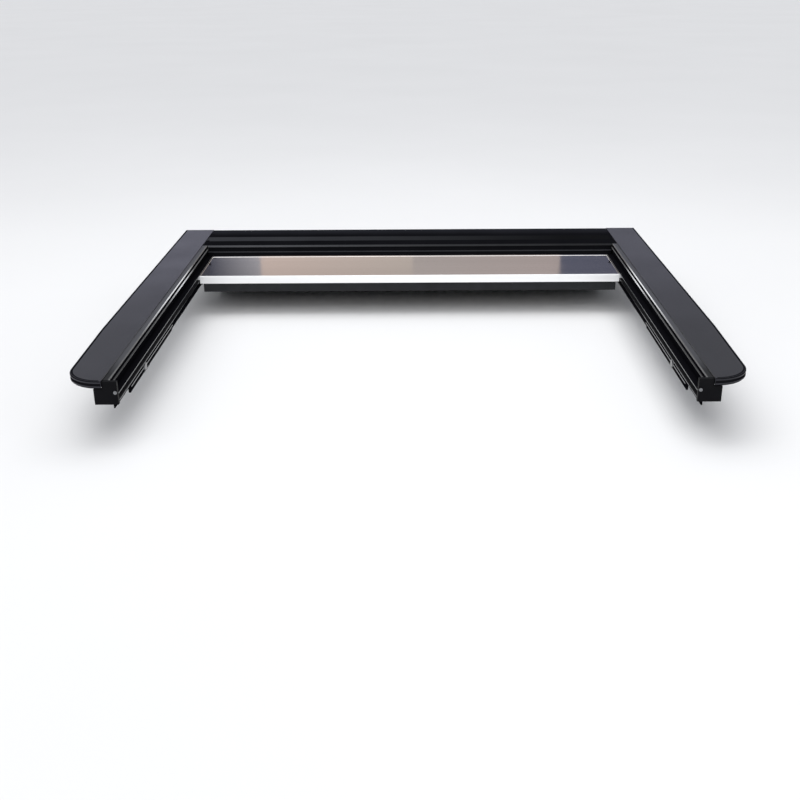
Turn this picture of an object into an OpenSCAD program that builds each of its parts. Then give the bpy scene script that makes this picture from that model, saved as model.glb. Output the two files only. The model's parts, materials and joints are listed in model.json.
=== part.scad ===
// Retractable roller tonneau cover for a pickup bed: a canister at the cab end, two side rails, a
// rigid lead panel with a latch, and a slatted curtain in four sections that slide one under another.
// X runs across the bed, +Y towards the cab, +Z up. The origin is under the middle of the cover.
// Lengths named u run back from the cab end, heights named z run down from the top of the rail caps.

/* [Overall] */
// Width over the rail caps
cover_w = 1700; // [1600:10:1800]
// Length from the cab end to the rear of the rail caps
cover_l = 1560; // [1520:10:1600]
// Height from the drain spigots to the top of the rail caps
deck_z = 185; // [180:1:200]

/* [Rail] */
// Width of each rail cap
cap_w = 105; // [102:1:120]
// Thickness of the rail cap
cap_t = 3.5; // [2.5:0.5:3.5]
// Radius of the cap's rear outer corner
cap_corner_r = 92; // [80:1:92]
// How far the cap's outer edge draws in towards the rear
cap_taper = 8; // [0:1:8]
// Wall of the rail extrusion
rail_wall = 3; // [2.5:0.1:3]
// Clear height of the curtain slot, lip to lip
slot_h = 16.3; // [16.3:0.1:17]

/* [Curtain] */
// Thickness of a slat
slat_t = 2.5; // [2:0.1:2.5]
// Distance from slat to slat
slat_pitch = 36; // [35:0.5:36]
// Slats in each section
slats_per_section = 8; // [8:1:8]
// Lengthwise gap between neighbouring slats
slat_gap = 0.4; // [0.2:0.1:1]
// Corners of the slats that stay wound on the drum
wound_corners = 11; // [6:1:11]

/* [Canister] */
// Wall of the canister's sheet
sheet_t = 2.5; // [2:0.1:2.5]
// Outer radius of the drum tube
drum_r = 25; // [24:0.5:25]
// Radius of the guide roller
roller_r = 12.5; // [11:0.5:12.5]

/* [Latch] */
// Radius of the latch rods
rod_r = 3.5; // [3:0.1:3.5]
// Distance from the knob's axis to the cam pins, which is the throw of the rods
cam_throw = 12; // [10:0.5:12]
// Radial clearance of every running fit
fit_gap = 0.05; // [0.03:0.01:0.08]

/* [Clamps] */
// Travel of the clamp screws
clamp_travel = 40; // [30:1:40]
// Radius of the clamp screws
clamp_r = 5; // [4:0.5:5]

/* [Hidden] */
$fn = 64;

LEFT = -1;
RIGHT = 1;

// Across the cover, as half widths from the centre line
half_w = cover_w / 2;
x_cap = half_w - cap_w;
x_flange = x_cap - 18;
x_lip = x_flange - 15;
x_back = x_cap - rail_wall;
x_box = x_cap + 55;
x_rib = x_lip + 9;
x_panel = x_lip - 1;
x_front_bar = x_lip - 1;
x_skirt = x_lip - 12;
x_glide = x_back - 3;
x_clamp = x_cap + 25;
x_arbor = x_lip + 4;
x_drum = x_lip - 22;

// Along the cover, measured back from the cab end
u_rail = 5;
u_rail_end = cover_l - 18;
u_box_end = cover_l - 28;
u_taper = cover_l - 400;
u_lid_end = 229;
u_canister_end = 315;
u_slope = 263;
u_section = 15;
u_lead = 209;
u_lead_deep = 320;
u_lead_end = 479;
u_front = 483;
u_lock = 430;
cover_travel = cover_l - 19 - u_front;
u_rib_low = 320;
u_track = [908, 1405];
clamp_u = [370, 1220];
clamp_bolt = [34, -76];
lid_screw_u = [67, 168];
u_drum = 105;
u_roller = 225;
drain_u = 40;
drain_x = x_lip - 62;

// Heights, measured from the top of the rail caps
z_lid = -1;
bead_z = [-8, -27];
z_flange = -cap_t;
z_seat = -24;
seal_t = 3;
z_slot = -44.2;
z_slot_floor = z_slot - slot_h;
z_lip_bottom = z_slot_floor - 2;
z_lead = z_slot - 0.3;
layer = slat_t + 0.3;
z_canister = -165;
z_canister_rear = -120;
z_end_top = z_lip_bottom;
z_rib = -78;
z_rib_low = -93;
z_front_bar = -70.6;
z_skirt = -100.5;
z_rod = -52;
z_drum = -112;
z_roller = -59 - roller_r;
z_knob = -66;
liner_t = 1.9;
z_clamp_arm = -98;
z_cap = -20;

// Small parts
cap_groove = 2.5;
arbor_r = 6;
axle_r = 4;
press_gap = 0.1;
bush_r = 11;
spring_r = 12;
spring_wire_r = 1.5;
spring_turns = 24;
spring_x0 = -640;
spring_x1 = -340;
spigot_r = 8;
spigot_bore_r = 6;
bracket_hole_r = 4.5;
bracket_z = [-90, -110];
bracket_hole_x = x_cap + 5;
shaft_r = 8;
cylinder_r = 7;
strike_r = 4.4;

function y_at(u) = cover_l / 2 - u;
function rail_z(z) = deck_z + z;

// A box given by its ranges across, along and up
module bar(x, u, z)
    translate([x[0], y_at(u[1]), rail_z(z[0])])
        cube([x[1] - x[0], u[1] - u[0], z[1] - z[0]]);

// A profile of (x, z) points run along the cover
module run_along(u)
    translate([0, y_at(u[0]), deck_z])
        rotate([90, 0, 0])
            linear_extrude(u[1] - u[0]) children();

// A profile of (u, z) points run across the cover
module run_across(x)
    translate([x[1], cover_l / 2, deck_z])
        rotate([90, 0, -90])
            linear_extrude(x[1] - x[0]) children();

module pin_x(u, z, r, x)
    translate([x[0], y_at(u), rail_z(z)])
        rotate([0, 90, 0]) cylinder(r = r, h = x[1] - x[0]);

module ring_x(u, z, r_out, r_in, x)
    difference() {
        pin_x(u, z, r_out, x);
        pin_x(u, z, r_in, [x[0] - 1, x[1] + 1]);
    }

module pin_z(x, u, r, z, sides = $fn)
    translate([x, y_at(u), rail_z(z[0])])
        cylinder(r = r, h = z[1] - z[0], $fn = sides);

module span(x, z) translate([x[0], z[0]]) square([x[1] - x[0], z[1] - z[0]]);

module on_side(side) mirror([side < 0 ? 1 : 0, 0, 0]) children();
module both_sides() for (side = [LEFT, RIGHT]) on_side(side) children();

// ---- Canister ----

module canister_housing() color("#17181a") difference() {
    run_across([-x_panel, x_panel]) polygon([
        [u_rail, z_flange], [u_rail, z_canister], [u_slope, z_canister],
        [u_canister_end, z_canister_rear], [u_canister_end, z_lip_bottom - 1],
        [u_canister_end - sheet_t, z_lip_bottom - 1],
        [u_canister_end - sheet_t, z_canister_rear + 1.1],
        [u_slope - 1, z_canister + sheet_t], [u_rail + sheet_t, z_canister + sheet_t],
        [u_rail + sheet_t, z_flange]
    ]);
    both_sides() pin_z(drain_x, drain_u, spigot_bore_r, [z_canister - 1, z_canister + 4]);
}

module canister_end(side) color("#1d1e20") on_side(side) difference() {
    union() {
        run_across([x_panel, x_panel + 3]) polygon([
            [u_rail, z_end_top], [u_rail, z_canister], [u_slope, z_canister],
            [u_canister_end, z_canister_rear], [u_canister_end, z_end_top]
        ]);
        bar([x_panel + 3, x_rib - 0.5], [90, 300], [z_end_top - 2.5, z_end_top]);
    }
    pin_x(u_drum, z_drum, arbor_r + press_gap, [x_panel - 1, x_panel + 4]);
    pin_x(u_roller, z_roller, axle_r + press_gap, [x_panel - 1, x_panel + 4]);
    for (u = [30, 55]) pin_x(u, -74, 3.2, [x_panel - 1, x_panel + 4]);
}
module canister_end_left() canister_end(LEFT);
module canister_end_right() canister_end(RIGHT);

// Half section of the lid: a shallow valley across the top, and a rounded rear edge over a wall
module lid_profile() {
    polygon([
        [u_rail, z_flange - 1], [u_rail, z_lid], [u_lid_end - 53, z_lid],
        [u_lid_end - 45, z_lid - 1.3], [u_lid_end - 23, z_lid - 1.3], [u_lid_end - 15, z_lid],
        [u_lid_end - 5, z_lid], [u_lid_end - 5, z_flange - 1]
    ]);
    intersection() {
        translate([u_lid_end - 5, z_lid - 5]) circle(r = 5);
        span([u_lid_end - 5, u_lid_end], [z_lid - 5, z_lid]);
    }
    span([u_lid_end - 3, u_lid_end], [z_slot + 1.2, z_lid - 5]);
    span([u_lid_end - 15, u_lid_end - 3], [z_slot + 1.2, z_slot + 3.7]);
    for (z = bead_z) translate([u_lid_end, z]) circle(r = 2.5);
}
module lid_band(half, z) run_across([-half, half]) intersection() {
    lid_profile();
    span([0, u_lid_end + 5], z);
}
module canister_lid() color("#151517") difference() {
    union() {
        lid_band(x_cap - 0.5, [z_flange, z_lid]);
        difference() {
            lid_band(x_flange - 1, [z_slot + 2.4, z_flange]);
            bar([-x_flange, x_flange], [u_rail - 1, u_lid_end - 5], [z_slot + 3.7, z_flange]);
        }
        lid_band(x_panel, [z_slot + 1.2, z_slot + 3.7]);
    }
    both_sides() for (u = lid_screw_u) pin_z(x_cap - 9, u, 3.2, [z_flange - 1, z_lid + 1]);
}

module lid_screws() color("#b9bcc0") both_sides() for (u = lid_screw_u) difference() {
    union() {
        pin_z(x_cap - 9, u, 6, [z_lid, 0]);
        pin_z(x_cap - 9, u, 3, [z_lid - 11, z_lid]);
    }
    pin_z(x_cap - 9, u, 2, [-0.6, 1], 6);
}

module drain_spigots() color("#1c1c1e") both_sides() difference() {
    pin_z(drain_x, drain_u, spigot_r, [-deck_z, z_canister]);
    pin_z(drain_x, drain_u, spigot_bore_r, [-deck_z - 1, z_canister + 1]);
}

module bulkhead_seal() color("#202022")
    run_across([-x_cap + 0.5, x_cap - 0.5]) difference() {
        union() {
            span([2.5, u_rail], [-30, z_lid]);
            translate([3, -12]) circle(r = 3);
        }
        span([u_rail, u_rail + 3], [-40, 5]);
    }

module exit_wiper() color("#1a1a1c")
    bar([-x_panel, x_panel], [u_lid_end - 13, u_lid_end - 5], [z_slot, z_slot + 1.2]);

module canister_brackets() color("#26272a") both_sides() difference() {
    union() {
        bar([x_panel + 3, x_panel + 6], [u_rail, 70], [-120, z_end_top - 0.5]);
        bar([x_panel + 6, x_cap + 25], [u_rail, u_rail + 3], [-120, z_rib - 2]);
    }
    for (u = [30, 55]) pin_x(u, -74, 3.2, [x_panel + 2, x_panel + 7]);
    for (z = bracket_z)
        translate([bracket_hole_x, y_at(u_rail - 1), rail_z(z)])
            rotate([90, 0, 0]) cylinder(r = bracket_hole_r, h = 5);
}

module bracket_bolts() color("#a9acb0") both_sides() for (u = [30, 55]) {
    pin_x(u, -74, 5, [x_panel + 6, x_panel + 9]);
    pin_x(u, -74, 3, [x_panel - 6, x_panel + 6]);
}

// ---- Drum, spring and guide roller ----

module drum_tube() color("#8d9196")
    ring_x(u_drum, z_drum, drum_r, drum_r - 2.5, [-x_drum, x_drum]);

module drum_plugs() color("#2b2c2f") {
    both_sides() {
        ring_x(u_drum, z_drum, drum_r - 2.5, bush_r, [x_drum - 25, x_drum]);
        ring_x(u_drum, z_drum, drum_r, bush_r, [x_drum, x_drum + 3]);
    }
}

module drum_bearings() color("#c3a15a") both_sides()
    ring_x(u_drum, z_drum, bush_r, arbor_r + fit_gap, [x_drum - 22, x_drum + 2]);

module drum_arbor() color("#9ea2a7") pin_x(u_drum, z_drum, arbor_r, [-x_arbor, x_arbor]);

// A coil of round wire: rings of points swept round the arbor
module torsion_spring() {
    steps = 14 * spring_turns;
    sides = 6;
    function coil_point(i, k) =
        let (turn = 360 * i / 14, side = 360 * k / sides, r = spring_r + spring_wire_r * cos(side))
        [
            spring_x0 + (spring_x1 - spring_x0) * i / steps + spring_wire_r * sin(side),
            y_at(u_drum) + r * cos(turn),
            rail_z(z_drum) + r * sin(turn)
        ];
    points = [for (i = [0:steps]) for (k = [0:sides - 1]) coil_point(i, k)];
    walls = [
        for (i = [0:steps - 1]) for (k = [0:sides - 1])
            let (a = i * sides + k, b = i * sides + (k + 1) % sides)
            for (face = [[a, a + sides, b + sides], [a, b + sides, b]]) face
    ];
    caps = [[for (k = [0:sides - 1]) k], [for (k = [sides - 1:-1:0]) steps * sides + k]];
    color("#70747a") polyhedron(points = points, faces = concat(walls, caps));
}

module spring_collar() color("#3a3c40")
    ring_x(u_drum, z_drum, 16, arbor_r + press_gap, [spring_x1 + 3, spring_x1 + 21]);

// Slats wound on the drum: flat links whose corners climb by one layer a turn
wind_r = drum_r + 6.5;
wind_lead = 8;
function wind_radius(angle) = wind_r + wind_lead * angle / 360;
function wind_angle(k) =
    k == 0 ? 0 : let (a = wind_angle(k - 1)) a + 2 * asin(slat_pitch / 2 / wind_radius(a));
function wind_corner(k, out) =
    let (a = wind_angle(k), r = wind_radius(a) + out)
    [u_drum + r * sin(a), z_drum + r * cos(a)];
module wound_slats() color("#a3a4a6")
    run_across([-x_drum + 8, x_drum - 8]) polygon(concat(
        [for (k = [0:wound_corners]) wind_corner(k, 0)],
        [for (k = [wound_corners:-1:0]) wind_corner(k, slat_t)]
    ));

module guide_roller() color("#84888d")
    ring_x(u_roller, z_roller, roller_r, roller_r - 2, [-x_drum - 10, x_drum + 10]);

module roller_bushes() color("#e4e0d2") both_sides()
    ring_x(u_roller, z_roller, roller_r - 2, axle_r + fit_gap, [x_drum - 10, x_drum + 10]);

module guide_axle() color("#9ea2a7") pin_x(u_roller, z_roller, axle_r, [-x_arbor, x_arbor]);

// ---- Rails ----

// The track: inner wall with two beads, slot lips, back wall and the rib that the clamps bolt to
module rail_track_profile() {
    span([x_flange + 4, x_box], [z_flange - rail_wall, z_flange]);
    translate([x_flange + 4.5, z_flange - 2.5]) circle(r = 2.5);
    span([x_flange + 3, x_flange + 3 + rail_wall], [z_slot, z_flange - 2]);
    translate([x_flange + 3, -20]) circle(r = 2.5);
    span([x_lip, x_cap], [z_slot, z_slot + 2.2]);
    span([x_back, x_cap], [z_lip_bottom, z_flange]);
    span([x_lip, x_cap], [z_lip_bottom, z_slot_floor]);
    span([x_rib, x_rib + 3], [z_rib, z_lip_bottom]);
}
module rail_box_profile() {
    span([x_back, x_box], [z_seat, z_seat + rail_wall]);
    span([x_box - rail_wall, x_box], [z_seat, z_flange]);
}
module rail(side) color("#111113") on_side(side) difference() {
    union() {
        intersection() {
            run_along([u_rail, u_rail_end]) rail_track_profile();
            union() {
                bar([0, x_cap], [0, u_rail_end], [-200, 10]);
                bar([0, x_box + 1], [0, u_box_end], [-200, 10]);
            }
        }
        run_along([u_rail, u_box_end]) rail_box_profile();
        bar([x_rib, x_rib + 3], [u_rib_low, u_track[1]], [z_rib_low, z_rib]);
    }
    for (u = [u_lock, u_lock + cover_travel])
        pin_x(u, z_rod, strike_r, [x_back - 1, x_cap + 1]);
    for (u = lid_screw_u) pin_z(x_cap - 9, u, 3.2, [-12, 1]);
    for (u = clamp_u) pin_x(u + clamp_bolt[0], clamp_bolt[1], 4.1, [x_rib - 1, x_rib + 4]);
}
module rail_left() rail(LEFT);
module rail_right() rail(RIGHT);

// Plan outline of a rail cap, drawn in by inset
module cap_outline(inset) {
    r = cap_corner_r - inset;
    end_u = cover_l - inset;
    outer_x = half_w - inset;
    corner_x = outer_x - cap_taper;
    polygon([
        [x_cap, y_at(0)], [outer_x, y_at(0)], [outer_x, y_at(u_taper)],
        [corner_x, y_at(end_u - r)], [x_cap, y_at(end_u - r)]
    ]);
    translate([x_cap, y_at(end_u)]) square([corner_x - r - x_cap, r]);
    intersection() {
        translate([corner_x - r, y_at(end_u - r)]) circle(r = r, $fn = 160);
        translate([corner_x - r, y_at(end_u)]) square([r, r]);
    }
}
module cap_layer(z, inset = 0)
    translate([0, 0, rail_z(z[0])]) linear_extrude(z[1] - z[0]) cap_outline(inset);

// A hollow cap whose outer edge is a rim and a lip with a groove between them
module rail_cap(side) color("#5a585c") on_side(side) difference() {
    union() {
        cap_layer([z_cap, 0], cap_groove);
        cap_layer([-6.5, 0]);
        cap_layer([-17, -13]);
    }
    difference() {
        cap_layer([z_cap - 1, -cap_t], cap_groove + cap_t);
        bar([x_box + 0.2, x_box + 3], [20, u_box_end - 50], [-16, 0]);
    }
}
module rail_cap_left() rail_cap(LEFT);
module rail_cap_right() rail_cap(RIGHT);

module rail_end_cap(side) color("#0f0f10") on_side(side) difference() {
    run_along([u_rail_end, u_rail_end + 11]) {
        span([x_lip - 4, x_cap - 0.5], [-64, -4]);
        span([x_cap - 0.5, x_cap + 21], [-64, -23]);
    }
    translate([x_lip + 1, y_at(u_rail_end - 1), rail_z(-32)])
        rotate([90, 0, 0]) cylinder(r = 2.2, h = 13);
}
module rail_end_cap_left() rail_end_cap(LEFT);
module rail_end_cap_right() rail_end_cap(RIGHT);

module end_cap_screws() color("#c7cacd") both_sides() {
    translate([x_lip + 1, y_at(u_rail_end + 11), rail_z(-32)])
        rotate([90, 0, 0]) cylinder(r = 4.5, h = 3);
    translate([x_lip + 1, y_at(u_rail_end + 0.5), rail_z(-32)])
        rotate([90, 0, 0]) cylinder(r = 2, h = 10.5);
}

module rail_seals() color("#242426") both_sides()
    bar([x_cap + 2, x_box - 2], [10, u_box_end - 2], [z_seat - seal_t, z_seat]);

module track_liners() color("#2e2e30") both_sides()
    bar([x_lip + 1, x_back - 0.5], [u_rail, u_rail_end - 1], [z_slot_floor, z_slot_floor + liner_t]);

// The track on the rib's inner face: a back plate with two ridges, cleared round the clamp bolt
module clamp_track(side) color("#0d0e12") on_side(side) difference() {
    run_along(u_track) {
        span([x_rib - 3, x_rib], [z_rib_low, z_lip_bottom]);
        for (z = [z_lip_bottom - 3.4, -77]) span([x_rib - 6, x_rib - 3], [z, z + 3]);
    }
    pin_x(clamp_u[1] + clamp_bolt[0], clamp_bolt[1], 4.1, [x_rib - 7, x_rib + 1]);
    pin_x(clamp_u[1] + clamp_bolt[0], clamp_bolt[1], 11.5, [x_rib - 7, x_rib - 3]);
}
module clamp_track_left() clamp_track(LEFT);
module clamp_track_right() clamp_track(RIGHT);

module clamp_body(u) difference() {
    union() {
        bar([x_rib + 3, x_rib + 9], [u - 35, u + 46], [z_clamp_arm, -64]);
        bar([x_rib, x_rib + 3], [u - 35, u + 30], [z_clamp_arm, z_rib_low - 0.3]);
        bar([x_rib + 9, x_clamp + 22], [u - 18, u + 18], [z_clamp_arm, z_clamp_arm + 8]);
    }
    pin_z(x_clamp, u, clamp_r + fit_gap, [z_clamp_arm - 1, z_clamp_arm + 9]);
    pin_x(u + clamp_bolt[0], clamp_bolt[1], 4.1, [x_rib - 1, x_rib + 10]);
}
module clamp_bodies(side) color("#2a2b2e") on_side(side) for (u = clamp_u) clamp_body(u);
module clamp_bodies_left() clamp_bodies(LEFT);
module clamp_bodies_right() clamp_bodies(RIGHT);

// The rear bolts sit on the track's back plate, the front ones on the rail's rib
module clamp_bolts() color("#3f4246") both_sides() for (u = clamp_u) {
    x_head = u == clamp_u[0] ? x_rib : x_rib - 3;
    pin_x(u + clamp_bolt[0], clamp_bolt[1], 10, [x_head - 5, x_head]);
    pin_x(u + clamp_bolt[0], clamp_bolt[1], 4, [x_head, x_rib + 16]);
}

module strike_plates() color("#9b9ea2") both_sides()
    for (u = [u_lock, u_lock + cover_travel]) difference() {
        bar([x_cap, x_cap + 3], [u - 16, u + 16], [-62, -45]);
        pin_x(u, z_rod, strike_r, [x_cap - 1, x_cap + 4]);
    }

module clamp_screw(side, u) color("#b0b3b6") on_side(side) {
    z_hex = -85 - clamp_travel;
    pin_z(x_clamp, u, clamp_r, [z_hex, -49]);
    pin_z(x_clamp, u, 13, [-49, -45]);
    pin_z(x_clamp, u, 9, [z_hex - 8, z_hex], 6);
}
module clamp_screw_front_left() clamp_screw(LEFT, clamp_u[0]);
module clamp_screw_front_right() clamp_screw(RIGHT, clamp_u[0]);
module clamp_screw_rear_left() clamp_screw(LEFT, clamp_u[1]);
module clamp_screw_rear_right() clamp_screw(RIGHT, clamp_u[1]);

// ---- Lead panel ----

module lead_panel() color("#aaa39c") {
    bar([-x_panel, x_panel], [u_lead, u_lead_end], [z_lead - slat_t, z_lead]);
    for (u = [325, 398])
        bar([-x_front_bar, x_front_bar], [u, u + 3], [z_knob, z_lead - slat_t]);
}

module front_bar() color("#e8e9ea") run_across([-x_front_bar, x_front_bar]) {
    span([u_lead_end, u_front - 1.5], [z_lead - slat_t, z_lead]);
    intersection() {
        translate([u_front - 1.5, z_lead - 1.5]) circle(r = 1.5);
        span([u_front - 1.5, u_front], [z_lead - 1.5, z_lead]);
    }
    span([u_front - 3, u_front], [z_front_bar, z_lead - 1.5]);
    span([u_lead_end - 10, u_front], [z_lead - slat_t - 2.5, z_lead - slat_t]);
    span([u_lead_end - 12, u_front], [z_front_bar, z_front_bar + 3]);
}

module tailgate_seal() color("#23252b") run_across([-x_skirt, x_skirt]) {
    span([u_front - 6, u_front - 1], [z_skirt + 5, z_front_bar]);
    translate([u_front - 5, z_skirt + 5]) circle(r = 5);
}

module lead_guide(side) color("#1b1b1d") on_side(side) difference() {
    union() {
        bar([x_panel, x_glide], [u_lead, u_lead_deep], [z_lead - slat_t, z_lead]);
        bar([x_panel, x_glide], [u_lead_deep, u_lead_end + 3], [z_slot_floor + liner_t + 0.4, z_lead]);
    }
    pin_x(u_lock, z_rod, rod_r + fit_gap, [x_panel - 1, x_glide + 1]);
}
module lead_guide_left() lead_guide(LEFT);
module lead_guide_right() lead_guide(RIGHT);

// ---- Curtain sections ----

function z_section(i) = z_lead - i * layer;
module each_slat(x, i)
    for (k = [0:slats_per_section - 1]) bar(
        x,
        [u_section + k * slat_pitch, u_section + (k + 1) * slat_pitch - slat_gap],
        [z_section(i) - slat_t, z_section(i)]
    );
module section(i) color("#b3b1ae") each_slat([-x_panel, x_panel], i);
module glides(i) color("#2a2a2c") both_sides() each_slat([x_panel, x_glide], i);
module section_1() section(1);
module section_2() section(2);
module section_3() section(3);
module section_4() section(4);
module section_1_glides() glides(1);
module section_2_glides() glides(2);
module section_3_glides() glides(3);
module section_4_glides() glides(4);

// ---- Latch ----

lock_floor = z_knob + 6;
cam_z = [-58.2, -55.6];
yoke_t = 2.5;

module lock_housing() color("#2c2d30") difference() {
    bar([-45, 45], [u_lock - 26, u_lock + 26], [z_knob, z_lead - slat_t]);
    bar([-34, 34], [u_lock - 22, u_lock + 22], [lock_floor, z_lead - slat_t + 1]);
    pin_x(u_lock, z_rod, rod_r + fit_gap, [-46, 46]);
    pin_z(0, u_lock, shaft_r + fit_gap, [z_knob - 1, lock_floor + 1]);
}

module lock_cam() color("#7d8085") {
    pin_z(0, u_lock, 16, cam_z);
    for (u = [u_lock - cam_throw, u_lock + cam_throw]) pin_z(0, u, 2.5, [cam_z[1], -48.2]);
}

module lock_knob() color("#1e1f21") difference() {
    union() {
        pin_z(0, u_lock, shaft_r, [z_knob - 1, cam_z[0]]);
        pin_z(0, u_lock, 13, [-92, z_knob - 0.5]);
        bar([-19, 19], [u_lock - 7, u_lock + 7], [-92, -72]);
        for (x = [-19, 19]) pin_z(x, u_lock, 7, [-92, -72]);
    }
    pin_z(0, u_lock, cylinder_r + fit_gap, [-93, -78]);
}

module lock_cylinder() color("#d0d2d4") difference() {
    pin_z(0, u_lock, cylinder_r, [-93, -78.3]);
    bar([-0.8, 0.8], [u_lock - 4, u_lock + 4], [-94, -86]);
}

// A latch rod for the right side: its yoke takes the cam pin nearer the cab
module latch_rod(yoke_z) {
    difference() {
        union() {
            bar([-8, 8], [u_lock - 18.5, u_lock + 4], [yoke_z, yoke_z + yoke_t]);
            bar([8, 21], [u_lock - 3.4, u_lock + 3.4], [yoke_z, yoke_z + yoke_t]);
            pin_x(u_lock, z_rod, rod_r, [20, x_glide - 0.5]);
        }
        bar([-5.3, 5.3], [u_lock - 15.5, u_lock + 5], [yoke_z - 1, yoke_z + yoke_t + 1]);
    }
}
module latch_rod_right() color("#c0c3c6") latch_rod(-51.4);
module latch_rod_left() color("#c0c3c6")
    translate([0, 2 * y_at(u_lock), 0]) rotate([0, 0, 180]) latch_rod(-54.8);

module rod_guides() color("#39393c") both_sides() for (x = [250, 500]) difference() {
    bar([x, x + 12], [u_lock - 8, u_lock + 8], [-58, z_lead - slat_t]);
    pin_x(u_lock, z_rod, rod_r + fit_gap, [x - 1, x + 13]);
}

canister_housing();
canister_lid();
canister_end_left();
canister_end_right();
lid_screws();
drain_spigots();
bulkhead_seal();
exit_wiper();
canister_brackets();
bracket_bolts();
drum_tube();
drum_plugs();
drum_bearings();
drum_arbor();
torsion_spring();
spring_collar();
wound_slats();
guide_roller();
roller_bushes();
guide_axle();
rail_left();
rail_right();
rail_cap_left();
rail_cap_right();
rail_end_cap_left();
rail_end_cap_right();
end_cap_screws();
rail_seals();
track_liners();
clamp_track_left();
clamp_track_right();
clamp_bodies_left();
clamp_bodies_right();
clamp_bolts();
strike_plates();
clamp_screw_front_left();
clamp_screw_front_right();
clamp_screw_rear_left();
clamp_screw_rear_right();
lead_panel();
front_bar();
tailgate_seal();
lead_guide_left();
lead_guide_right();
section_1();
section_2();
section_3();
section_4();
section_1_glides();
section_2_glides();
section_3_glides();
section_4_glides();
lock_housing();
lock_cam();
lock_knob();
lock_cylinder();
latch_rod_left();
latch_rod_right();
rod_guides();
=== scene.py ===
import json
import math

import bmesh
import bpy
from mathutils import Matrix, Vector


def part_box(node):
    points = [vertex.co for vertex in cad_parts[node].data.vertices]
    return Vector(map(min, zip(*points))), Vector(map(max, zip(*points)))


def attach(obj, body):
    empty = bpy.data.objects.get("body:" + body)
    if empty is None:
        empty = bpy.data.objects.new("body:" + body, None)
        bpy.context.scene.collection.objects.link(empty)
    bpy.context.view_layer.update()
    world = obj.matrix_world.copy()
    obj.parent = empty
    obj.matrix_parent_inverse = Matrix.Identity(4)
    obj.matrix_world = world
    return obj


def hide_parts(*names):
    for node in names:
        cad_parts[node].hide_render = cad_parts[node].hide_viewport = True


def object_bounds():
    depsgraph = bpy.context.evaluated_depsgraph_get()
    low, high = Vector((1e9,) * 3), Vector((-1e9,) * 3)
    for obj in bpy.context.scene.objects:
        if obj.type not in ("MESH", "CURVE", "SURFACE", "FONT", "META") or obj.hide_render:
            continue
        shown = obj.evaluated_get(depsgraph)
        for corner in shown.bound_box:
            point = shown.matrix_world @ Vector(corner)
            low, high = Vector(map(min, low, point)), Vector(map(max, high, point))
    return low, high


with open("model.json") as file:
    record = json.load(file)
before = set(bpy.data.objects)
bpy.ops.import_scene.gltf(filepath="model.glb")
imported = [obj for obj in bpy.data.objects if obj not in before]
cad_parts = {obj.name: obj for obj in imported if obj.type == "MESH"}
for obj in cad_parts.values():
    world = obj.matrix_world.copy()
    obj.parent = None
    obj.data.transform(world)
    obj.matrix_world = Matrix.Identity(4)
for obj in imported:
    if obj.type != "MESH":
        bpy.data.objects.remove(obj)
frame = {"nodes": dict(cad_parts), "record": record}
NODES = frame["nodes"]
CAD_LOW, CAD_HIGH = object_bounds()
BODY_OF = {
    node: body
    for body, members in frame["record"]["behaviour"]["bodies"].items()
    for node in members
}
SLOT_OF = {s["node"]: s["material_slot"] for s in frame["record"]["subparts"]}


def at(x, u, z):
    """A point in metres, from x across, u back from the cab end and z up from the caps' top, in mm."""
    return Vector((x / 1000, CAD_HIGH.y - u / 1000, CAD_HIGH.z + z / 1000))


def u_of(y):
    return (CAD_HIGH.y - y) * 1000


def z_of(z):
    return (z - CAD_HIGH.z) * 1000


# ---- Camera ----

camera = bpy.data.objects.new("camera", bpy.data.cameras.new("camera"))
bpy.context.scene.collection.objects.link(camera)
camera.data.lens = 46.98
camera.data.sensor_width = 36.0
camera.data.shift_x = -0.02
camera.data.clip_end = 200
CAMERA_PLACE = (0.0195, -3.128, 1.113)
CAMERA_PITCH = 67.33
CAMERA_ROLL = -0.3
camera.matrix_world = (
    Matrix.Translation(CAMERA_PLACE)
    @ Matrix.Rotation(math.radians(CAMERA_PITCH), 4, "X")
    @ Matrix.Rotation(math.radians(CAMERA_ROLL), 4, "Z")
)
bpy.context.scene.camera = camera
bpy.context.scene.view_settings.view_transform = "Standard"
bpy.context.scene.view_settings.look = "None"

# ---- Materials ----


def add(tree, kind, settings=(), **inputs):
    node = tree.nodes.new(kind)
    for key, value in dict(settings).items():
        setattr(node, key, value)
    for key, value in inputs.items():
        node.inputs[key.replace("_", " ")].default_value = value
    return node


def texture(tree, kind, scale, stretch):
    """The grey output of a noise or cell texture in object coordinates."""
    place = add(tree, "ShaderNodeMapping", Scale=stretch)
    coords = add(tree, "ShaderNodeTexCoord")
    tree.links.new(coords.outputs["Object"], place.inputs["Vector"])
    if kind == "cells":
        node = add(tree, "ShaderNodeTexVoronoi", {"feature": "SMOOTH_F1"}, Scale=scale, Smoothness=0.6)
        output = "Distance"
    else:
        node = add(tree, "ShaderNodeTexNoise", Scale=scale, Detail=3.0, Roughness=0.55)
        output = "Fac"
    tree.links.new(place.outputs["Vector"], node.inputs["Vector"])
    return node.outputs[output]


def spread(tree, value, low, high, start=0.3, end=0.7):
    """value, mapped from start to end onto low to high."""
    node = add(tree, "ShaderNodeMapRange", From_Min=start, From_Max=end, To_Min=low, To_Max=high)
    tree.links.new(value, node.inputs["Value"])
    return node.outputs["Result"]


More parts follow.
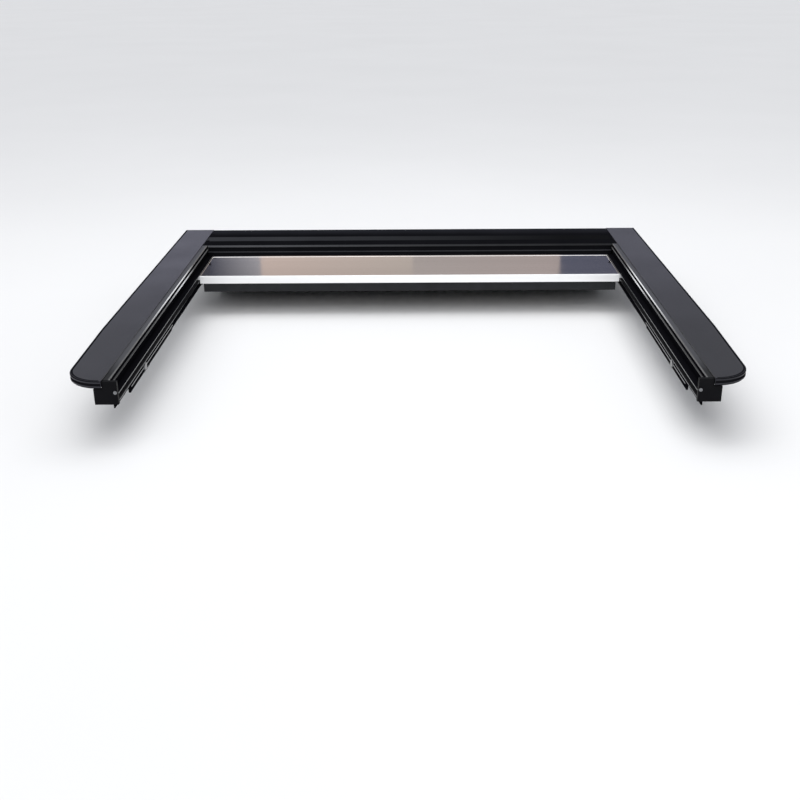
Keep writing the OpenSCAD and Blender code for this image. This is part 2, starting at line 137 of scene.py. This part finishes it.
def stepped(tree, axis, stops):
    """A level that runs through the stops, (place, level) pairs, along an axis of object coordinates."""
    axes = add(tree, "ShaderNodeSeparateXYZ")
    tree.links.new(add(tree, "ShaderNodeTexCoord").outputs["Object"], axes.inputs[0])
    start, end = stops[0][0], stops[-1][0]
    ramp = add(tree, "ShaderNodeValToRGB")
    elements = ramp.color_ramp.elements
    elements.remove(elements[1])
    for index, (place, level) in enumerate(stops):
        step = elements.new((place - start) / (end - start)) if index else elements[0]
        step.color = (level, level, level, 1)
    tree.links.new(spread(tree, axes.outputs[axis], 0, 1, start, end), ramp.inputs["Fac"])
    return ramp.outputs["Color"]


def surface(
    name, tones, rough, grain, metallic=0.0, blotch=9.0, stretch=(1, 1, 1), kind="noise", fades=(), **sockets
):
    """A material with two tones in soft blotches, a grain that gives it a bump, and roughness that varies
    with both. grain is (scale per metre, bump strength, bump distance in metres). Each fade is (axis, stops):
    the tones are scaled along that axis by the stops, which are (place in metres, factor) pairs."""
    made = bpy.data.materials.new(name)
    made.use_nodes = True
    tree = made.node_tree
    shader = tree.nodes["Principled BSDF"]
    shader.inputs["Metallic"].default_value = metallic
    for key, value in sockets.items():
        shader.inputs[key.replace("_", " ")].default_value = value
    patches = texture(tree, "noise", blotch, stretch)
    mix = add(tree, "ShaderNodeMix", {"data_type": "RGBA"})
    mix.inputs["A"].default_value = (*tones[0], 1)
    mix.inputs["B"].default_value = (*tones[1], 1)
    tree.links.new(spread(tree, patches, 0, 1), mix.inputs["Factor"])
    mix_out = [s for s in mix.outputs if s.type == "RGBA"][0]
    fine = texture(tree, kind, grain[0], stretch)
    for fade in fades:
        scaled = add(tree, "ShaderNodeVectorMath", {"operation": "MULTIPLY"})
        tree.links.new(mix_out, scaled.inputs[0])
        tree.links.new(stepped(tree, *fade), scaled.inputs[1])
        mix_out = scaled.outputs["Vector"]
    tree.links.new(mix_out, shader.inputs["Base Color"])
    blend = add(tree, "ShaderNodeMath", {"operation": "ADD"})
    tree.links.new(spread(tree, fine, 0, 0.5, 0.2, 0.8), blend.inputs[0])
    tree.links.new(spread(tree, patches, 0, 0.5), blend.inputs[1])
    tree.links.new(spread(tree, blend.outputs[0], rough[0], rough[1], 0, 1), shader.inputs["Roughness"])
    bump = add(tree, "ShaderNodeBump", Strength=grain[1], Distance=grain[2])
    tree.links.new(fine, bump.inputs["Height"])
    tree.links.new(bump.outputs["Normal"], shader.inputs["Normal"])
    return made


ALONG_X = (0.02, 1, 1)
ALONG_Y = (1, 0.02, 1)
MATERIALS = {
    # Painted light: the caps' tone is scaled lighter on the left than the right, and lighter towards the cab
    # end than the rear, standing in for how the light and its reflection fall
    "cap_plastic": surface(
        "cap_plastic", [(0.067, 0.067, 0.086), (0.088, 0.088, 0.111)], (0.40, 0.52),
        (900, 0.35, 0.00025), blotch=6, kind="cells", Specular_IOR_Level=0.25,
        fades=[
            ("X", [(-0.6, 1.02), (0.6, 0.7)]),
            ("Y", [(-0.75, 0.34), (-0.46, 0.39), (-0.09, 0.58), (0.13, 0.78), (0.4, 0.98), (0.78, 1.0)]),
        ],
    ),
    # Painted sheen: the tone is about three times lighter over the last 70 mm at the cab end than behind it
    "powder_black": surface(
        "powder_black", [(0.0128, 0.0132, 0.0165), (0.0175, 0.0180, 0.0225)], (0.26, 0.36),
        (1400, 0.22, 0.0001), blotch=7, Specular_IOR_Level=0.0, fades=[("Y", [(0.69, 0.34), (0.76, 1.0)])],
    ),
    "powder_satin": surface(
        "powder_satin", [(0.010, 0.0104, 0.012), (0.0145, 0.015, 0.017)], (0.30, 0.42),
        (1400, 0.25, 0.0001), blotch=7, Specular_IOR_Level=0.3,
    ),
    # Painted highlight on the lid's rear edge and upper bead, lighter on the left than the right
    "lid_glint": surface(
        "lid_glint", [(0.066, 0.068, 0.074), (0.078, 0.080, 0.086)], (0.3, 0.4),
        (1400, 0.22, 0.0001), blotch=7, Specular_IOR_Level=0.0,
        fades=[("X", [(-0.55, 1.0), (0.0, 0.5), (0.55, 0.3)])],
    ),
    # Painted highlight on the lid's lower bead
    "lid_bead_painted_highlight": surface(
        "lid_bead_painted_highlight", [(0.027, 0.028, 0.032), (0.033, 0.034, 0.038)], (0.3, 0.4),
        (1400, 0.22, 0.0001), blotch=7, Specular_IOR_Level=0.0,
    ),
    # Painted sheen on a strip of the lid's top, lighter on the left than the right
    "lid_sheen": surface(
        "lid_sheen", [(0.029, 0.030, 0.034), (0.034, 0.035, 0.039)], (0.3, 0.4),
        (1400, 0.22, 0.0001), blotch=7, Specular_IOR_Level=0.0,
        fades=[("X", [(-0.55, 1.0), (0.0, 0.62), (0.55, 0.2)])],
    ),
    "anodised_black": surface(
        "anodised_black", [(0.0035, 0.0035, 0.0045), (0.005, 0.005, 0.0065)], (0.28, 0.4),
        (900, 0.12, 0.00006), stretch=ALONG_Y, Specular_IOR_Level=0.0,
    ),
    # Painted highlight on the rails' upper bead: near-white, and bright only over the middle of the rail's
    # length
    "rail_bead_painted_highlight": surface(
        "rail_bead_painted_highlight", [(0.84, 0.85, 0.86), (0.92, 0.93, 0.94)], (0.22, 0.34),
        (900, 0.12, 0.00006), blotch=16, stretch=ALONG_Y,
        fades=[("Y", [(-0.55, 0.10), (-0.42, 0.13), (-0.08, 1.0), (0.14, 1.0), (0.3, 0.12)])],
    ),
    # Painted highlight on the rails' lower bead: near-white, and bright only over a short stretch of the
    # rail's length
    "rail_low_bead_painted_highlight": surface(
        "rail_low_bead_painted_highlight", [(0.84, 0.85, 0.86), (0.92, 0.93, 0.94)], (0.24, 0.36),
        (900, 0.12, 0.00006), blotch=16, stretch=ALONG_Y, Specular_IOR_Level=0.1,
        fades=[("Y", [(-0.6, 0.05), (-0.1, 0.14), (0.06, 1.0), (0.14, 1.0), (0.3, 0.12)])],
    ),
    # Painted highlight: a lighter metal for thin lines of light on the black rails and clamp tracks
    "dim_painted_highlight": surface(
        "dim_painted_highlight", [(0.13, 0.135, 0.145), (0.19, 0.195, 0.21)], (0.26, 0.38),
        (900, 0.12, 0.00006), metallic=1.0, blotch=16, stretch=ALONG_Y,
    ),
    # Painted highlight on the upper lip of the curtain's slot
    "lip_painted_highlight": surface(
        "lip_painted_highlight", [(0.13, 0.135, 0.14), (0.17, 0.175, 0.18)], (0.3, 0.4),
        (900, 0.12, 0.00006), blotch=16, stretch=ALONG_Y,
    ),
    # Painted sheen on the black rail's top, darker towards the rear end
    "flange_painted_sheen": surface(
        "flange_painted_sheen", [(0.057, 0.058, 0.066), (0.074, 0.075, 0.084)], (0.34, 0.46),
        (1200, 0.2, 0.0001), blotch=8, stretch=ALONG_Y, Specular_IOR_Level=0.15,
        fades=[("Y", [(-0.72, 0.12), (-0.62, 0.75), (-0.2, 1.0)])],
    ),
    "cap_shadow_line": surface(
        "cap_shadow_line", [(0.006, 0.006, 0.008), (0.010, 0.010, 0.012)], (0.4, 0.5),
        (900, 0.3, 0.0002), kind="cells", Specular_IOR_Level=0.0,
    ),
    "black_plastic": surface(
        "black_plastic", [(0.004, 0.004, 0.005), (0.007, 0.007, 0.008)], (0.45, 0.6),
        (1500, 0.25, 0.00012), kind="cells", Specular_IOR_Level=0.04,
    ),
    "bare_aluminium": surface(
        "bare_aluminium", [(0.76, 0.745, 0.73), (0.82, 0.80, 0.785)], (0.07, 0.13),
        (1100, 0.05, 0.00003), metallic=1.0, blotch=14, stretch=ALONG_X,
    ),
    # Partly the bar's own bright metal, partly a painted highlight: near-white and mostly diffuse, so that it
    # shows white to its ends where a mirror would catch the dark rails
    "bright_aluminium": surface(
        "bright_aluminium", [(0.93, 0.94, 0.95), (0.98, 0.98, 0.98)], (0.18, 0.26),
        (900, 0.04, 0.00003), metallic=0.12, stretch=ALONG_X,
    ),
    "slat_aluminium": surface(
        "slat_aluminium", [(0.50, 0.50, 0.51), (0.58, 0.58, 0.585)], (0.26, 0.36),
        (1000, 0.08, 0.00004), metallic=1.0, stretch=ALONG_X,
    ),
    "rubber": surface(
        "rubber", [(0.011, 0.012, 0.014), (0.018, 0.019, 0.022)], (0.66, 0.82),
        (700, 0.3, 0.0002), blotch=20, Specular_IOR_Level=0.2,
    ),
    "steel": surface(
        "steel", [(0.20, 0.205, 0.215), (0.30, 0.30, 0.305)], (0.34, 0.5),
        (260, 0.12, 0.00006), metallic=1.0, blotch=60, kind="cells",
    ),
    "bronze": surface(
        "bronze", [(0.44, 0.31, 0.14), (0.56, 0.41, 0.2)], (0.35, 0.5),
        (1600, 0.25, 0.0001), metallic=1.0, blotch=70,
    ),
    "nylon": surface(
        "nylon", [(0.55, 0.53, 0.46), (0.62, 0.6, 0.53)], (0.4, 0.5),
        (500, 0.1, 0.0001), blotch=40,
    ),
    "chrome": surface(
        "chrome", [(0.78, 0.78, 0.8), (0.84, 0.84, 0.86)], (0.06, 0.11),
        (800, 0.03, 0.00002), metallic=1.0, blotch=50,
    ),
}

# Painted parts below the lid have a satin sheen
SATIN = {"canister_housing", "canister_end_left", "canister_end_right", "canister_brackets"}

# ---- Shapes ----


SMOOTH_ANGLE = 50


def finish_mesh(name, bm, node, accents=()):
    """Turns a bmesh in the CAD frame into a piece that stands for a CAD node. accents are (material, test)
    pairs: a face takes the first material whose test passes for its middle, in mm, and its normal."""
    bmesh.ops.recalc_face_normals(bm, faces=bm.faces)
    bm.normal_update()
    for face in bm.faces:
        middle = face.calc_center_median()
        for index, (_, test) in enumerate(accents, 1):
            if test(abs(middle.x) * 1000, u_of(middle.y), z_of(middle.z), face.normal):
                face.material_index = index
                break
    mesh = bpy.data.meshes.new(name)
    bm.to_mesh(mesh)
    bm.free()
    mesh.polygons.foreach_set("use_smooth", [True] * len(mesh.polygons))
    mesh.set_sharp_from_angle(angle=math.radians(SMOOTH_ANGLE))
    mesh.materials.append(MATERIALS["powder_satin" if node in SATIN else SLOT_OF[node]])
    for material, _ in accents:
        mesh.materials.append(MATERIALS[material])
    piece = bpy.data.objects.new(name, mesh)
    bpy.context.scene.collection.objects.link(piece)
    weighted = piece.modifiers.new("weighted", "WEIGHTED_NORMAL")
    weighted.keep_sharp = True
    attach(piece, BODY_OF[node])
    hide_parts(node)


def sharp_edges(bm):
    least = math.radians(SHARP_ANGLE)
    return [e for e in bm.edges if len(e.link_faces) == 2 and e.calc_face_angle(0) > least]


def bevel(bm, edges, width, segments):
    if edges and width:
        bmesh.ops.bevel(
            bm, geom=edges, offset=width, offset_type="OFFSET", segments=segments, profile=0.5,
            affect="EDGES", clamp_overlap=True,
        )


SHARP_ANGLE = 35
FLAT = 0.98
TOP_AREA = 0.05


def refine(node, width=0.0005, segments=2, wide=None, cuts=(), splits=(), accents=(), border=None):
    """A copy of a CAD node with its flats merged and its sharp edges rounded.
    wide is (test, width, segments), for the edges that get a larger radius.
    cuts are heights, and splits are distances from the cab end, in mm, at which its faces are divided, so
    that a strip can take another material.
    border is (width in metres, test): the top face gets a border of that width, which takes the first
    accent's material where the test passes for the middle of a face, in mm."""
    bm = bmesh.new()
    bm.from_mesh(NODES[node].data)
    bmesh.ops.remove_doubles(bm, verts=bm.verts, dist=1e-6)
    bmesh.ops.dissolve_limit(bm, angle_limit=math.radians(0.5), verts=bm.verts[:], edges=bm.edges[:])
    if wide:
        picked, wide_width, wide_segments = wide
        bevel(bm, [e for e in sharp_edges(bm) if picked(e)], wide_width, wide_segments)
    bevel(bm, sharp_edges(bm), width, segments)
    planes = [(at(0, 0, z), (0, 0, 1)) for z in cuts] + [(at(0, u, 0), (0, 1, 0)) for u in splits]
    for point, normal in planes:
        parts = bm.verts[:] + bm.edges[:] + bm.faces[:]
        bmesh.ops.bisect_plane(bm, geom=parts, dist=1e-6, plane_co=point, plane_no=normal)
    if border:
        width, inside = border
        bm.normal_update()
        tops = [f for f in bm.faces if f.normal.z > FLAT and f.calc_area() > TOP_AREA]
        for face in bmesh.ops.inset_region(bm, faces=tops, thickness=width, use_even_offset=True)["faces"]:
            middle = face.calc_center_median()
            face.material_index = int(inside(abs(middle.x) * 1000, u_of(middle.y)))
    finish_mesh(node + ".skin", bm, node, accents)


def prism(bm, outline, x0, x1):
    """Adds a closed solid to bm: an outline of (u, z) points run across from x0 to x1, in mm."""
    ends = [[bm.verts.new(at(x, u, z)) for u, z in outline] for x in (x0, x1)]
    count = len(outline)
    for i in range(count):
        j = (i + 1) % count
        bm.faces.new((ends[0][i], ends[0][j], ends[1][j], ends[1][i]))
    bm.faces.new(ends[0][::-1])
    bm.faces.new(ends[1])


def slat_outline(u0, u1, z0, z1):
    mid = (u0 + u1) / 2
    return [
        (u0 + 0.3, z0), (u0, z0 + 0.3), (u0, z1 - 0.8), (u0 + 0.25, z1 - 0.3), (u0 + 0.9, z1),
        (mid - 1.3, z1), (mid - 0.6, z1 - 0.4), (mid + 0.6, z1 - 0.4), (mid + 1.3, z1),
        (u1 - 0.9, z1), (u1 - 0.25, z1 - 0.3), (u1, z1 - 0.8), (u1, z0 + 0.3), (u1 - 0.3, z0),
    ]


SLAT_PITCH = 36.0
SLAT_GAP = 0.4
SLATS = 8


def slats(node):
    """Eight slats with rounded edges and a groove down the middle, in the CAD node's box."""
    low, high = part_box(node)
    bm = bmesh.new()
    x0, x1 = low.x * 1000, high.x * 1000
    for k in range(SLATS):
        u0 = u_of(high.y) + k * SLAT_PITCH
        prism(bm, slat_outline(u0, u0 + SLAT_PITCH - SLAT_GAP, z_of(low.z), z_of(high.z)), x0, x1)
    finish_mesh(node + ".slats", bm, node)


for number in range(1, 5):
    slats(f"section_{number}")

# The rim's section across, its top above the plate, and the plate's thickness, in mm
RIM = [(0.0, 0.0), (0.35, 0.45), (0.9, 0.7), (1.5, 0.7), (2.1, 0.45), (2.45, 0.0)]
RIM_HEIGHT = 0.7
RIM_SETBACK = 21.5
PLATE = 2.5
PANEL_RIBS = (325, 398)


def lead_panel():
    """The lead panel: a plate with a fine raised rim behind the lid and along both sides, and two ribs."""
    low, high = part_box("lead_panel")
    x_edge, top = high.x * 1000, z_of(high.z)
    u0, u1 = u_of(high.y), u_of(low.y)
    rim_u = u0 + RIM_SETBACK
    rows = [(u0, 0.0)] + [(rim_u + d, h) for d, h in RIM] + [(u1, 0.0)]
    left = [(-x_edge + d, h) for d, h in RIM]
    columns = [(-x_edge, 0.0)] + left[1:] + [(-x, h) for x, h in reversed(left[1:])] + [(x_edge, 0.0)]
    bm = bmesh.new()
    grid = [
        [bm.verts.new(at(x, u, top - RIM_HEIGHT + max(hu, hx if u > rim_u else 0.0))) for x, hx in columns]
        for u, hu in rows
    ]
    base = [[bm.verts.new(at(x, u, top - PLATE)) for x, _ in columns] for u, _ in rows]
    last_row, last_column = len(rows) - 1, len(columns) - 1
    for i in range(last_row):
        for j in range(last_column):
            bm.faces.new((grid[i][j], grid[i][j + 1], grid[i + 1][j + 1], grid[i + 1][j]))
            bm.faces.new((base[i][j], base[i + 1][j], base[i + 1][j + 1], base[i][j + 1]))
    for i in range(last_row):
        for j in (0, last_column):
            bm.faces.new((grid[i][j], grid[i + 1][j], base[i + 1][j], base[i][j]))
    for j in range(last_column):
        for i in (0, last_row):
            bm.faces.new((grid[i][j], grid[i][j + 1], base[i][j + 1], base[i][j]))
    x_rib = x_edge - 2
    bottom = z_of(low.z)
    for u in PANEL_RIBS:
        outline = [
            (u, top - PLATE), (u, bottom + 0.5), (u + 0.5, bottom), (u + 2.5, bottom), (u + 3, bottom + 0.5),
            (u + 3, top - PLATE),
        ]
        prism(bm, outline, -x_rib, x_rib)
    finish_mesh("lead_panel.plate", bm, "lead_panel")


lead_panel()


CAP_INNER = 746
CAP_GROOVE = (-13.2, -6.3)
CAP_ROUNDING_FOOT = -3.2
CAP_FOOT = -16.8


def cap_outer_edge(edge):
    """The edge round the outside and the rear of a cap's top, but not along the rail or at the cab."""
    middle = (edge.verts[0].co + edge.verts[1].co) / 2
    at_top = all(z_of(v.co.z) > -0.5 for v in edge.verts)
    return at_top and abs(middle.x) * 1000 > CAP_INNER and u_of(middle.y) > 1


def cap_shadow(x, u, z, normal):
    """The rounded outer edge of the top, the groove under the rim and the foot of the wall, which take a
    near-black material: painted shade.
    """
    outside = x > CAP_INNER and u > 1 and not (normal.z > FLAT and z > -1)
    return outside and (z > CAP_ROUNDING_FOOT or CAP_GROOVE[0] < z < CAP_GROOVE[1] or z < CAP_FOOT)


def cap_painted_shadow_border(x, u):
    """Every side of the cap's top but those along the rail and at the cab, where a near-black border is a
    painted shadow line.
    """
    return x > CAP_INNER + 6 and u > 6


for node in ("rail_cap_left", "rail_cap_right"):
    refine(
        node, 0.0006, 3, wide=(cap_outer_edge, 0.0028, 5), accents=[("cap_shadow_line", cap_shadow)],
        border=(0.0048, cap_painted_shadow_border),
    )

DONE = {"lead_panel", "rail_cap_left", "rail_cap_right"} | {f"section_{n}" for n in range(1, 5)}
# Radii of the rounded edges in metres, where they aren't the usual one
USUAL_ROUNDING = 0.0004
ROUNDING = {
    "torsion_spring": 0, "wound_slats": 0.0003, "lock_knob": 0.0012, "lock_cylinder": 0.0003,
    "lock_housing": 0.0008, "canister_housing": 0.0006, "rail_end_cap_left": 0.0012,
    "rail_end_cap_right": 0.0012, "front_bar": 0.0005, "clamp_bodies_left": 0.0008,
    "clamp_bodies_right": 0.0008, "tailgate_seal": 0.0006, "bulkhead_seal": 0.0005, "exit_wiper": 0.0002,
    "track_liners": 0.0003,
}

# Places on the rails' section, as x and z in mm
UPPER_BEAD = (731.5, -6)
LOWER_BEAD = (730, -20)
BEAD_REACH = 2.65
LIP_X = 712.6
RIB_FOOT_Z = -91.2
GUIDE_FRONT_U = 481.7


def near_bead(x, z, centre):
    return math.hypot(x - centre[0], z - centre[1]) < BEAD_REACH


# The rails' upper bead takes a near-white material: a painted highlight
def upper_bead(x, u, z, normal):
    return near_bead(x, z, UPPER_BEAD)


# The rails' lower bead takes a near-white material: a painted highlight
def lower_bead(x, u, z, normal):
    return near_bead(x, z, LOWER_BEAD)


def upper_lip(x, u, z, normal):
    """The upper lip of the curtain's slot, which takes a light grey material: a painted highlight on the
    black rail.
    """
    return x < LIP_X and -44.4 < z < -41.8


def rail_dim_highlight(x, u, z, normal):
    """The lower lip of the curtain's slot and the foot of the rib, which take a lighter metal: a painted
    highlight on the black rail.
    """
    return x < LIP_X and -62.7 < z < -60.3 or x < 721.6 and z < RIB_FOOT_Z


def rail_flange(x, u, z, normal):
    """The rail's top, between the upper bead and the cap, which takes a grey material: a painted sheen on the
    black rail, darker towards the rear.
    """
    return 731 < x < CAP_INNER and z > -3.7


def track_dim_highlight(x, u, z, normal):
    """The faces of the clamp track's ridges, and its foot, which take a lighter metal: a painted highlight on
    the black track.
    """
    return x < 715.6 or x < 718.6 and z < RIB_FOOT_Z


# The lead guides' front ends take the front bar's near-white material: partly bright metal, partly a painted
# highlight
def guide_front(x, u, z, normal):
    return u > GUIDE_FRONT_U


LID_HALF = 711
SHEEN = (112, 172)


def lid_glint(x, u, z, normal):
    """The rounded rear edge of the lid and the top of its upper bead, which take a lighter material: a
    painted highlight, lighter to the left.
    """
    return x < LID_HALF and (226 < u and -6.2 < z < -2.9 or u > 229.4 and -9.6 < z < -5.2)


def lid_bead_painted_highlight(x, u, z, normal):
    """The lid's lower bead, which takes a lighter material: a painted highlight."""
    return x < LID_HALF and u > 229.3 and -29.6 < z < -24.4


def lid_sheen(x, u, z, normal):
    """The strip of the lid's top in front of the valley, which takes a lighter material: a painted sheen,
    lighter to the left.
    """
    return x < LID_HALF and SHEEN[0] < u < SHEEN[1] and z > -1.6 and normal.z > 0.9


LID = {
    "splits": SHEEN,
    "accents": [("lid_glint", lid_glint), ("lid_bead_painted_highlight", lid_bead_painted_highlight), ("lid_sheen", lid_sheen)],
}
RAIL = {
    "cuts": [RIB_FOOT_Z],
    "accents": [
        ("rail_bead_painted_highlight", upper_bead), ("rail_low_bead_painted_highlight", lower_bead), ("lip_painted_highlight", upper_lip),
        ("dim_painted_highlight", rail_dim_highlight), ("flange_painted_sheen", rail_flange),
    ],
}
TRACK = {"cuts": [RIB_FOOT_Z], "accents": [("dim_painted_highlight", track_dim_highlight)]}
GUIDE = {"accents": [("bright_aluminium", guide_front)]}
EXTRAS = {
    "canister_lid": LID, "rail_left": RAIL, "rail_right": RAIL, "clamp_track_left": TRACK,
    "clamp_track_right": TRACK, "lead_guide_left": GUIDE, "lead_guide_right": GUIDE,
}
for node in sorted(set(NODES) - DONE):
    refine(node, ROUNDING.get(node, USUAL_ROUNDING), **EXTRAS.get(node, {}))

# The panel and the front bar mirror the light around the cover, not the black parts beside them
UNMIRRORED = (
    "canister_lid", "exit_wiper", "rail_left", "rail_right", "clamp_track_left", "clamp_track_right",
)
for node in UNMIRRORED:
    bpy.data.objects[node + ".skin"].visible_glossy = False

# ---- Stage and light ----


CARD_Y = (2.0, 2.0)
CARD_Z = (0.44, 1.0)
CARD_DIMMING = (0.50, 0.64)


def glow_card(name, x, y, z, left, right, low=1.0):
    """A lit card that only reflections see. x, y and z are where it starts and ends. It shades from the
    colour left to the colour right, and from the factor low at the foot of the upright cards to 1."""
    mesh = bpy.data.meshes.new(name)
    corners = [(x[0], y[0], z[0]), (x[1], y[0], z[0]), (x[1], y[1], z[1]), (x[0], y[1], z[1])]
    mesh.from_pydata(corners, [], [(0, 1, 2, 3)])
    made = bpy.data.materials.new(name)
    made.use_nodes = True
    tree = made.node_tree
    tree.nodes.clear()
    coords = add(tree, "ShaderNodeTexCoord")
    axes = add(tree, "ShaderNodeSeparateXYZ")
    tree.links.new(coords.outputs["Object"], axes.inputs[0])
    mix = add(tree, "ShaderNodeMix", {"data_type": "RGBA"})
    mix.inputs["A"].default_value = (*left, 1)
    mix.inputs["B"].default_value = (*right, 1)
    tree.links.new(spread(tree, axes.outputs["X"], 0, 1, x[0], x[1]), mix.inputs["Factor"])
    glow = add(tree, "ShaderNodeEmission")
    tree.links.new([out for out in mix.outputs if out.type == "RGBA"][0], glow.inputs["Color"])
    tree.links.new(spread(tree, axes.outputs["Z"], low, 1.0, *CARD_DIMMING), glow.inputs["Strength"])
    out = add(tree, "ShaderNodeOutputMaterial")
    tree.links.new(glow.outputs[0], out.inputs["Surface"])
    mesh.materials.append(made)
    card = bpy.data.objects.new(name, mesh)
    bpy.context.scene.collection.objects.link(card)
    for ray in ("camera", "diffuse", "transmission", "volume_scatter", "shadow"):
        setattr(card, "visible_" + ray, False)


glow_card("card_far_left", (-1.76, -1.02), CARD_Y, CARD_Z, (0.10, 0.10, 0.12), (0.05, 0.05, 0.065), 1.4)
glow_card("card_cool_left", (-1.02, -0.76), CARD_Y, CARD_Z, (0.06, 0.062, 0.085), (0.30, 0.295, 0.32), 1.4)
glow_card("card_warm_left", (-0.76, 0.007), CARD_Y, CARD_Z, (0.54, 0.44, 0.40), (0.46, 0.405, 0.37), 1.25)
glow_card("card_warm_right", (0.007, 0.75), CARD_Y, CARD_Z, (0.44, 0.395, 0.38), (0.43, 0.37, 0.36), 1.0)
glow_card("card_cool_right", (0.75, 1.75), CARD_Y, CARD_Z, (0.105, 0.11, 0.155), (0.075, 0.075, 0.10), 1.1)
BAR_LIGHT = (1.06, 1.06, 1.06)
glow_card("card_bar", (-0.70, 0.70), (-0.74, 0.26), (0.003, 0.003), BAR_LIGHT, BAR_LIGHT)

FLOOR_HALF = 60.0
FLOOR_GAP = 0.0005
floor_mesh = bpy.data.meshes.new("floor")
floor_corners = [(x * FLOOR_HALF, y * FLOOR_HALF, 0) for x, y in ((-1, -1), (1, -1), (1, 1), (-1, 1))]
floor_mesh.from_pydata(floor_corners, [], [(0, 1, 2, 3)])
floor_mesh.materials.append(
    surface(
        "floor_paint", [(0.80, 0.80, 0.80), (0.82, 0.82, 0.82)], (0.7, 0.8), (40, 0.02, 0.0005), blotch=0.6,
        Specular_IOR_Level=0.05,
    )
)
floor = bpy.data.objects.new("floor", floor_mesh)
floor.location.z = CAD_LOW.z - FLOOR_GAP
bpy.context.scene.collection.objects.link(floor)


def softbox(name, location, aim, size, power, colour=(1, 1, 1)):
    light = bpy.data.lights.new(name, "AREA")
    light.shape = "RECTANGLE"
    light.size, light.size_y = size
    light.energy = power
    light.color = colour
    lamp = bpy.data.objects.new(name, light)
    lamp.location = location
    lamp.rotation_euler = (Vector(aim) - Vector(location)).to_track_quat("-Z", "Y").to_euler()
    bpy.context.scene.collection.objects.link(lamp)


softbox("overhead", (0, 0.3, 3.4), (0, 0, 0), (4.0, 3.0), 40)
softbox("behind_camera", (0.6, -4.6, 3.6), (0, -0.3, 0), (3.0, 2.0), 50)

sun = bpy.data.lights.new("sun", "SUN")
sun.energy = 1.4
sun.angle = math.radians(70)
sun_lamp = bpy.data.objects.new("sun", sun)
sun_lamp.rotation_euler = (math.radians(22), math.radians(-14), 0)
bpy.context.scene.collection.objects.link(sun_lamp)

world = bpy.data.worlds.new("studio")
world.use_nodes = True
world.node_tree.nodes["Background"].inputs["Color"].default_value = (0.93, 0.95, 1.0, 1)
world.node_tree.nodes["Background"].inputs["Strength"].default_value = 0.55
bpy.context.scene.world = world

bpy.context.view_layer.update()
